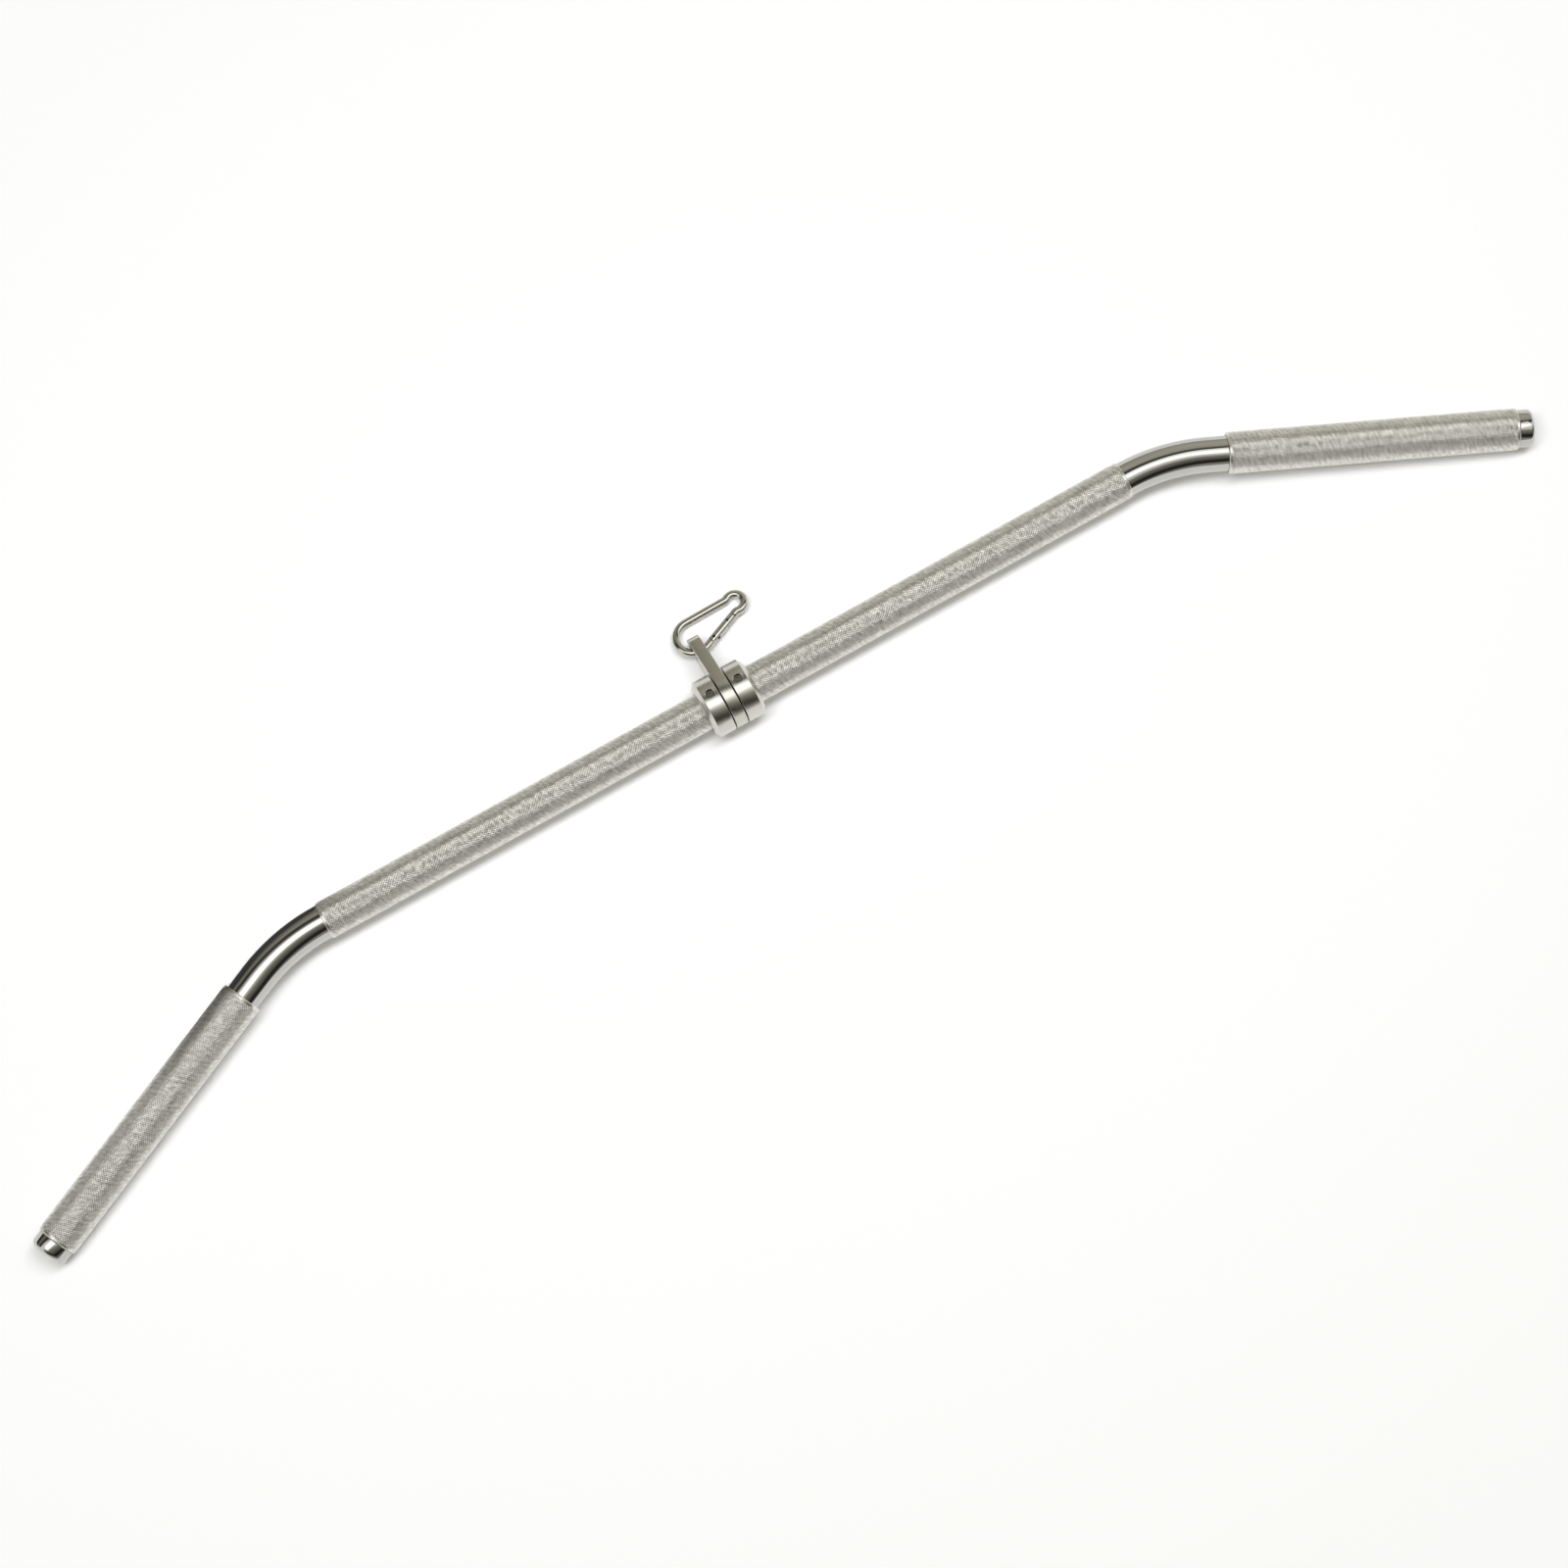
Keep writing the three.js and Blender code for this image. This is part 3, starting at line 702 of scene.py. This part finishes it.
class Paint:
    """A node tree that finishes are written into."""

    def __init__(self, tree):
        self.tree = tree
        tree.nodes.clear()

    def node(self, kind, settings=None, inputs=None, output=0):
        """Adds a node: its settings first, then its sockets' values or links. Gives one output."""
        made = self.tree.nodes.new(kind)
        for key, value in (settings or {}).items():
            if key == "stops":
                self.set_stops(made.color_ramp, value)
            else:
                setattr(made, key, value)
        for key, value in (inputs or {}).items():
            if isinstance(value, Wire):
                self.tree.links.new(value.socket, made.inputs[key])
            else:
                made.inputs[key].default_value = value
        return Wire(self, made.outputs[output]) if made.outputs else made

    def set_stops(self, ramp, stops):
        """Gives a colour ramp its stops, each (position, colour)."""
        while len(ramp.elements) < len(stops):
            ramp.elements.new(1.0)
        for element, (position, colour) in zip(ramp.elements, stops):
            element.position = position
            element.color = (*colour, 1.0)

    def ramp(self, value, stops):
        """The colour that a value has on a ramp."""
        return self.node("ShaderNodeValToRGB", {"stops": stops}, {"Fac": value})

    def place(self):
        """The object's own coordinates, in metres."""
        return self.node("ShaderNodeTexCoord", output="Object")

    def split(self, vector):
        """The three numbers of a vector."""
        parted = self.tree.nodes.new("ShaderNodeSeparateXYZ")
        self.tree.links.new(vector.socket, parted.inputs[0])
        return [Wire(self, socket) for socket in parted.outputs]

    def noise(self, vector, scale, detail=2.0, roughness=0.5):
        """Noise from 0 to 1, scale in waves per metre."""
        values = {"Vector": vector, "Scale": scale, "Detail": detail, "Roughness": roughness}
        return self.node("ShaderNodeTexNoise", {}, values, "Fac")

    def stretched(self, vector, scale, rotation=(0, 0, 0)):
        """Coordinates turned and scaled along each axis."""
        values = {"Vector": vector, "Scale": scale, "Rotation": rotation}
        return self.node("ShaderNodeMapping", {}, values)

    def grain(self, waves, detail):
        """Noise over the object, its waves per metre one number or one for each axis."""
        if isinstance(waves, tuple):
            return self.noise(self.stretched(self.place(), waves), scale=1.0, detail=detail)
        return self.noise(self.place(), waves, detail)

    def between(self, value, low, high):
        """A number that goes from low to high as the value goes from 0 to 1."""
        return low + (high - low) * value

    def tones(self, value, colour, darkest, lightest):
        """A colour that goes from one of its own levels to another."""
        return self.blend(value, shade(colour, darkest), shade(colour, lightest))

    def blend(self, factor, first, second):
        """One colour into another."""
        return self.node(
            "ShaderNodeMix", {"data_type": "RGBA"}, {0: factor, 6: first, 7: second}, 2
        )

    def clamped(self, value, low, high):
        """A number kept between two others."""
        return self.node("ShaderNodeClamp", {}, {"Value": value, "Min": low, "Max": high})

    def bump(self, height, distance, strength=1.0):
        """A surface raised by a height from 0 to 1, which stands for the distance."""
        values = {"Height": height, "Distance": distance, "Strength": strength}
        return self.node("ShaderNodeBump", {}, values)


def shade(colour, level=1.0):
    """A colour with its alpha, at a level of its own."""
    return (*(level * part for part in colour), 1.0)


def new_material(name):
    """An empty material, and the paint for its node tree."""
    made = bpy.data.materials.new(name)
    made.use_nodes = True
    return made, Paint(made.node_tree)


def finish(name, values, write):
    """A material on one Principled shader: its plain values, and what write(paint) links."""
    made, paint = new_material(name)
    inputs = {**values, **write(paint)}
    shader = paint.node("ShaderNodeBsdfPrincipled", {}, inputs)
    paint.node("ShaderNodeOutputMaterial", {}, {"Surface": shader})
    return made


# Colours of the bare materials
CHROME = (0.52, 0.515, 0.495)
NICKEL = (0.62, 0.605, 0.56)
PLATED_KNURL = (0.79, 0.775, 0.72)
PLATED_PLATE = (0.58, 0.57, 0.51)
PLATED_WIRE = (0.575, 0.565, 0.515)
PIN_STEEL = (0.035, 0.034, 0.032)
SCREW_STEEL = (0.28, 0.272, 0.25)
BRONZE = (0.45, 0.27, 0.09)
NYLON = (0.018, 0.018, 0.02)

# Chrome: a cloud of faint unevenness and finer smears
CHROME_TONES = (0.95, 1.04)
CHROME_CLOUD_WAVES = 34.0
CHROME_CLOUD_HEIGHT = 0.05 * MM
CHROME_SMEAR_WAVES = 210.0
CHROME_ROUGHNESS = (0.02, 0.055)

# Knurl: strokes of wear across the sleeve, leaning a little, faint bands of them, and a light soil
# The crowns are lighter and the grooves darker: painted highlight and painted shade on the knurl's relief, with
# wear on the crowns.
SHADED_GROOVE_TONES = (0.55, 1.0)
WORN_LIT_CROWN_TONES = (0.78, 1.25)
STROKE_LEAN = radians(22)
STROKE_WAVES = (500.0, 150.0, 1.0)
STROKE_HEIGHT = 0.05 * MM
STROKE_WEIGHT = 1.9
HATCH_PITCH = 3.6 * MM
HATCH_BENDS = 7.0
HATCH_WEIGHT = 0.2
SOIL_WAVES = 110.0
SOIL_WEIGHT = 0.4
KNURL_ROUGHNESS = (0.38, 0.3)
WAVE_BANDS = 10 / pi  # that a Wave texture has in a metre at a scale of 1


def polished(paint):
    """Bright chrome with the faint unevenness of polished tube."""
    cloud = paint.grain(CHROME_CLOUD_WAVES, detail=3.0)
    smear = paint.grain(CHROME_SMEAR_WAVES, detail=2.0)
    return {
        "Base Color": paint.tones(cloud, CHROME, *CHROME_TONES),
        "Roughness": paint.between(smear, *CHROME_ROUGHNESS),
        "Normal": paint.bump(cloud, CHROME_CLOUD_HEIGHT, strength=0.4),
    }


def knurled(paint):
    """Plated knurl: crowns lighter with wear and painted highlight, grooves darker with painted shade, and uneven
    wear.
    """
    crown = paint.node("ShaderNodeAttribute", {"attribute_name": "crown"}, {}, "Fac")
    unrolled = paint.node("ShaderNodeUVMap", {"uv_map": "unrolled"})
    leaning = paint.stretched(unrolled, (1, 1, 1), (0, 0, STROKE_LEAN))
    strokes = paint.noise(paint.stretched(leaning, STROKE_WAVES), scale=1.0, detail=2.0)
    soil = paint.noise(paint.place(), SOIL_WAVES, detail=3.0, roughness=0.6)
    bands = {
        "Vector": leaning,
        "Scale": 1 / HATCH_PITCH / WAVE_BANDS,
        "Distortion": HATCH_BENDS,
        "Detail": 2.0,
    }
    hatch = paint.node(
        "ShaderNodeTexWave", {"wave_type": "BANDS", "bands_direction": "X"}, bands, "Fac"
    )
    wear = paint.clamped(
        0.5
        + STROKE_WEIGHT * (strokes - 0.5)
        + HATCH_WEIGHT * (hatch - 0.5)
        + SOIL_WEIGHT * (soil - 0.5),
        0.0, 1.0,
    )
    # Painted shade in the grooves; painted highlight, with wear, on the crowns.
    groove = paint.tones(wear, PLATED_KNURL, *SHADED_GROOVE_TONES)
    top = paint.tones(wear, PLATED_KNURL, *WORN_LIT_CROWN_TONES)
    return {
        "Base Color": paint.blend(crown, groove, top),
        "Roughness": paint.between(wear, *KNURL_ROUGHNESS),
        "Normal": paint.bump(strokes, STROKE_HEIGHT, strength=0.6),
    }


def grained(colour, tones, cloud, roughness, relief, grain=None):
    """Writes a plain finish: a cloud shades its colour, and a grain, or else the cloud itself,
    roughens and raises it. Cloud and grain are (waves per metre, detail), tones and roughness
    are (from, to), and relief is (height, strength)."""
    def write(paint):
        shading = paint.grain(*cloud)
        fine = paint.grain(*grain) if grain else shading
        return {
            "Base Color": paint.tones(shading, colour, *tones),
            "Roughness": paint.between(fine, *roughness),
            "Normal": paint.bump(fine, *relief),
        }
    return write


def oiled_steel(colour):
    """Steel of the small hardware, a little mottled."""
    return grained(
        colour, tones=(0.75, 1.3), cloud=(700.0, 3.0),
        roughness=(0.24, 0.38), relief=(0.01 * MM, 0.4),
    )


METAL = {"Metallic": 1.0}
PLASTIC = {"Metallic": 0.0, "IOR": 1.5}
polished_finish = finish("polished_chrome", METAL, polished)
knurled_finish = finish("knurled_plate", METAL, knurled)

# Nickel with the fine rings that a lathe tool leaves round X
collar_finish = finish("turned_satin", METAL, grained(
    NICKEL, tones=(0.93, 1.05), cloud=(90.0, 3.0),
    roughness=(0.19, 0.29), relief=(0.006 * MM, 0.6), grain=((9000, 60, 60), 2.0),
))

# A dull plated plate with a fine grain along its length
hanger_finish = finish("plate_satin", METAL, grained(
    PLATED_PLATE, tones=(0.9, 1.1), cloud=(120.0, 3.0),
    roughness=(0.2, 0.32), relief=(0.01 * MM, 0.5), grain=((2600, 160, 2600), 3.0),
))

# Bright plating over drawn wire
wire_finish = finish("plated_wire", METAL, grained(
    PLATED_WIRE, tones=(0.9, 1.06), cloud=(160.0, 3.0),
    roughness=(0.06, 0.12), relief=(0.006 * MM, 0.4), grain=(1800.0, 2.0),
))
screw_finish = finish("screw_steel", METAL, oiled_steel(SCREW_STEEL))
pin_finish = finish("dark_steel", METAL, oiled_steel(PIN_STEEL))

# Sintered bronze, slightly porous
bronze_finish = finish("bearing_bronze", METAL, grained(
    BRONZE, tones=(0.75, 1.15), cloud=(1500.0, 3.0),
    roughness=(0.28, 0.46), relief=(0.02 * MM, 0.5),
))

# Dark moulded nylon
nylon_finish = finish("moulded_nylon", PLASTIC, grained(
    NYLON, tones=(0.8, 1.5), cloud=(900.0, 3.0),
    roughness=(0.45, 0.6), relief=(0.02 * MM, 0.4),
))


# The bar and what is fixed to it

piece("tube", bar_tube(), BAR, "bar", "bar_tube", polished_finish)
for side in ("left", "right"):
    half = half_of_bar(side)
    grip = grip_of(side)
    stop = stop_of(side)
    centre_length = STRAIGHT_HALF - CENTRE_SLEEVE_SETBACK - COLLAR_FACE
    centre_sleeve = knurled_sleeve(centre_length, CENTRE_SLEEVE_RADIUS)
    piece(
        f"{side}_centre_knurl", centre_sleeve, half @ move(COLLAR_FACE),
        "bar", f"{side}_centre_sleeve", knurled_finish, KNURL_ANGLE,
    )
    grip_sleeve = knurled_sleeve(GRIP_SLEEVE_LENGTH, GRIP_SLEEVE_RADIUS)
    piece(
        f"{side}_grip_knurl", grip_sleeve, grip,
        "bar", f"{side}_grip_sleeve", knurled_finish, KNURL_ANGLE,
    )
    piece(
        f"{side}_plug", end_plug(), grip @ move(GRIP_SLEEVE_LENGTH),
        "bar", f"{side}_end_plug", polished_finish,
    )
    piece(
        f"{side}_stop_collar", collar(), stop,
        "bar", f"{side}_collar", collar_finish,
    )
    piece(
        f"{side}_grub_screw", set_screw(), stop,
        "bar", f"{side}_set_screw", screw_finish,
    )
    washer = ring_piece(WASHER_THICKNESS, WASHER_RADIUS, TUBE_RADIUS + FIT_GAP, SHIM_GAP)
    piece(
        f"{side}_washer", washer, half @ move(COLLAR_FACE - SHIM_GAP - WASHER_THICKNESS),
        "bar", f"{side}_thrust_washer", nylon_finish,
    )

# The hanger and the hook

piece("hanger_plate", hanger(), SWIVEL, "swivel", "hanger", hanger_finish)
bush = ring_piece(HANGER_THICKNESS, BUSH_OUTER, BUSH_INNER, FIT_GAP)
piece(
    "bush", bush, SWIVEL @ move(-HANGER_THICKNESS / 2),
    "swivel", "hanger_bush", bronze_finish,
)
piece("hook_wire", carabiner_body(), GATE, "hook", "carabiner_body", wire_finish)
piece("gate_rod", carabiner_gate(), GATE, "gate", "carabiner_gate", wire_finish)
piece(
    "hinge_pin", pin_along_z(HINGE_PIN_RADIUS, 2 * WIRE_RADIUS, PIN_EDGE), GATE,
    "hook", "gate_hinge_pin", pin_finish,
)
piece(
    "latch_pin", pin_along_z(LATCH_PIN_RADIUS, 2 * WIRE_RADIUS, PIN_EDGE),
    GATE @ move(LATCH_PIN_AT), "gate", "gate_latch_pin", pin_finish,
)
piece("spring_coil", gate_spring(), GATE, "gate", "gate_spring", pin_finish)

# The plunger keeps its frame mesh, because it lies inside the gate
plunger = frame["nodes"]["gate_plunger"]
plunger.data.materials.clear()
plunger.data.materials.append(bronze_finish)


# Studio

WHITE = (1.0, 1.0, 1.0)
HALF_TURN = 180.0

# The floor is lit by this share up to the reach, and then fades to plain white
FLOOR_HALF = 12.0
FLOOR_DROP = 0.05 * MM
FLOOR_COLOUR = (0.99, 0.99, 0.988)
FLOOR_LIT_SHARE = 0.88
FLOOR_LIT_REACH = 0.7
FLOOR_FADE = 0.6

# The room's brightness and colour where it lights the object
ROOM_LIGHT = 0.21
ROOM_TINT = (1.0, 0.995, 0.72)

# The canopy's brightness by the angle round the bar, in degrees, from the floor behind it to the
# floor before it. Levels under the bright one are tinted.
CANOPY_LEVELS = [
    (0, 0.2), (14, 0.3), (30, 0.41), (45, 0.46), (51, 0.22), (57, 0.06), (66, 0.06), (73, 0.3),
    (79, 1.0), (104, 1.0), (112, 0.6), (121, 0.26), (134, 0.16), (143, 0.06), (150, 0.02),
    (159, 0.03), (166, 0.16), (174, 0.4), (180, 0.36),
]
CANOPY_BRIGHT = 0.7
CANOPY_TINT = (1.0, 0.965, 0.82)
CANOPY_RADIUS = 3.4
CANOPY_HALF = 8.0
CANOPY_STEPS = 36

# Along the bar the canopy's levels turn by the skew, in degrees for a metre. Its back, up to an
# angle, is brighter by the slope instead. Both stop growing at the reach.
CANOPY_REACH = 2.0
CANOPY_SKEW = 8.0
CANOPY_SLOPE = 0.55
CANOPY_BACK = 60.0

# The card lies beside the left bend, over the floor, tipped towards the tube
# Only the metal shows it: a painted dark reflection along the bend's edge.
CARD_MIDDLE = (-0.44, 0.2, 0.036)
CARD_SIZE = (0.19, 0.32)
CARD_TILT = radians(12)
CARD_LEVEL = 0.07

# Each lamp faces the floor: its middle, its size along X and Y, and its brightness
SOFTBOX_MIDDLE = (0.2, -0.02, 2.7)
SOFTBOX_SIZE = (3.8, 1.4)
SOFTBOX_LEVEL = 1.0
FILL_MIDDLE = (0.0, 0.15, 3.4)
FILL_SIZE = (3.4, 0.7)
FILL_LEVEL = 12.4
FILL_TINT = (0.94, 0.94, 1.0)

# The camera stands over the bar, its place along Y measured from the bar's axis. Its turns are in
# degrees, and its lens and sensor in millimetres.
CAMERA_PLACE = (-204.65 * MM, -551.07 * MM, 2454.21 * MM)
CAMERA_TURN = (12.0095, 1.2174, -29.3618)
CAMERA_LENS = 80
CAMERA_SENSOR = 36


def backdrop_share(paint):
    """1 for rays that show the background itself, seen directly, in metal or through glass."""
    path = paint.tree.nodes.new("ShaderNodeLightPath")
    camera, glossy, through = (
        Wire(paint, path.outputs[f"Is {kind} Ray"]) for kind in ("Camera", "Glossy", "Transmission")
    )
    return camera + glossy + through


def square(half_width=0.5):
    """A flat square that faces up."""
    bm = bmesh.new()
    bmesh.ops.create_grid(bm, x_segments=1, y_segments=1, size=half_width)
    return bm


def studio_floor():
    """A pale floor: mostly lit near the object, so that it keeps the shadow, and white far away."""
    ground = mesh_object("studio_floor", placed(square(FLOOR_HALF), move(z=-FLOOR_DROP)))
    made, paint = new_material("pale_floor")
    lit = paint.node("ShaderNodeBsdfDiffuse", {}, {"Color": shade(FLOOR_COLOUR)})
    white = paint.node("ShaderNodeEmission", {}, {"Color": shade(WHITE), "Strength": 1.0})
    away = paint.node("ShaderNodeVectorMath", {"operation": "LENGTH"}, {0: paint.place()}, "Value")
    faded = paint.clamped((away - FLOOR_LIT_REACH) / FLOOR_FADE, 0.0, 1.0)
    share = (1 - FLOOR_LIT_SHARE * (1 - faded)) * backdrop_share(paint)
    surface = paint.node("ShaderNodeMixShader", {}, {0: share, 1: lit, 2: white})
    paint.node("ShaderNodeOutputMaterial", {}, {"Surface": surface})
    ground.data.materials.append(made)


def reflector(name, bm, material_name, write):
    """A glowing part of the studio that only metal shows. What write(paint) gives is its colour
    and its strength."""
    made, paint = new_material(material_name)
    colour, strength = write(paint)
    light = paint.node("ShaderNodeEmission", {}, {"Color": colour, "Strength": strength})
    paint.node("ShaderNodeOutputMaterial", {}, {"Surface": light})
    shown = mesh_object(name, bm)
    shown.data.materials.append(made)
    shown.visible_camera = False
    shown.visible_diffuse = False
    shown.visible_shadow = False


def panel_colour(level):
    """A canopy panel's colour, tinted unless it is bright."""
    tint = CANOPY_TINT if level < CANOPY_BRIGHT else WHITE
    return [level * part for part in tint]


def canopy_glow(paint):
    """Grey and black panels round the bar's axis, which shift and slope along it."""
    x, y, z = paint.split(paint.place())
    along = paint.clamped(x, -CANOPY_REACH, CANOPY_REACH)
    radian = paint.node("ShaderNodeMath", {"operation": "ARCTAN2"}, {0: z, 1: y})
    angle = radian * (HALF_TURN / pi)
    levels = [(turned_by / HALF_TURN, panel_colour(level)) for turned_by, level in CANOPY_LEVELS]
    behind = paint.clamped(1 - angle / CANOPY_BACK, 0.0, 1.0)
    colour = paint.ramp((angle - CANOPY_SKEW * along * (1 - behind)) / HALF_TURN, levels)
    return colour, 1 + CANOPY_SLOPE * along * behind


def reflected_canopy():
    """A canopy of panels over the bar, half a cylinder."""
    bm = bmesh.new()
    ends = [bm.verts.new((x, CANOPY_RADIUS, 0)) for x in (-CANOPY_HALF, CANOPY_HALF)]
    bm.edges.new(ends)
    bmesh.ops.spin(
        bm, geom=bm.verts[:] + bm.edges[:], cent=(0, 0, 0), axis=(1, 0, 0),
        angle=pi, steps=CANOPY_STEPS,
    )
    reflector("studio_canopy", bm, "canopy_panels", canopy_glow)


def reflected_card():
    """A black card beside the left bend: a painted dark reflection in the bend's chrome."""
    tilted = turn(BEND_ANGLE / 2, "Z") @ turn(CARD_TILT, "X")
    shape = move(*CARD_MIDDLE) @ tilted @ Matrix.Diagonal((*CARD_SIZE, 1, 1))
    card = placed(square(), shape)
    reflector("studio_card", card, "painted_dark_reflection", lambda paint: (shade(WHITE), CARD_LEVEL))


def softbox(name, middle, size, level, tint=WHITE):
    """A rectangular lamp that faces the floor. At level 1 it is as bright as a white surface."""
    data = bpy.data.lights.new(name, "AREA")
    data.shape = "RECTANGLE"
    data.size, data.size_y = size
    data.energy = level * pi * size[0] * size[1]
    data.color = tint
    lamp = bpy.data.objects.new(name, data)
    lamp.location = middle
    bpy.context.scene.collection.objects.link(lamp)
    return lamp


def surroundings():
    """A white room, seen directly and in metal, that lights the object plainly."""
    world = bpy.data.worlds.new("white_room")
    world.use_nodes = True
    bpy.context.scene.world = world
    paint = Paint(world.node_tree)
    shown = backdrop_share(paint)
    colour = paint.blend(shown, shade(ROOM_TINT), shade(WHITE))
    strength = ROOM_LIGHT + (1 - ROOM_LIGHT) * shown
    room = paint.node("ShaderNodeBackground", {}, {"Color": colour, "Strength": strength})
    paint.node("ShaderNodeOutputWorld", {}, {"Surface": room})


def studio_camera():
    """Where the photograph was taken from."""
    data = bpy.data.cameras.new("camera")
    data.lens = CAMERA_LENS
    data.sensor_width = CAMERA_SENSOR
    camera = bpy.data.objects.new("camera", data)
    bar_axis = Vector((0, joints["hanger_swivel"]["pos_m"][1], 0))
    camera.location = Vector(CAMERA_PLACE) + bar_axis
    camera.rotation_euler = [radians(angle) for angle in CAMERA_TURN]
    bpy.context.scene.collection.objects.link(camera)
    bpy.context.scene.camera = camera


studio_floor()
reflected_canopy()
reflected_card()
surroundings()
softbox("overhead_softbox", SOFTBOX_MIDDLE, SOFTBOX_SIZE, SOFTBOX_LEVEL)
fill = softbox("overhead_fill", FILL_MIDDLE, FILL_SIZE, FILL_LEVEL, FILL_TINT)
fill.visible_glossy = False
studio_camera()
bpy.context.scene.view_settings.view_transform = "Standard"
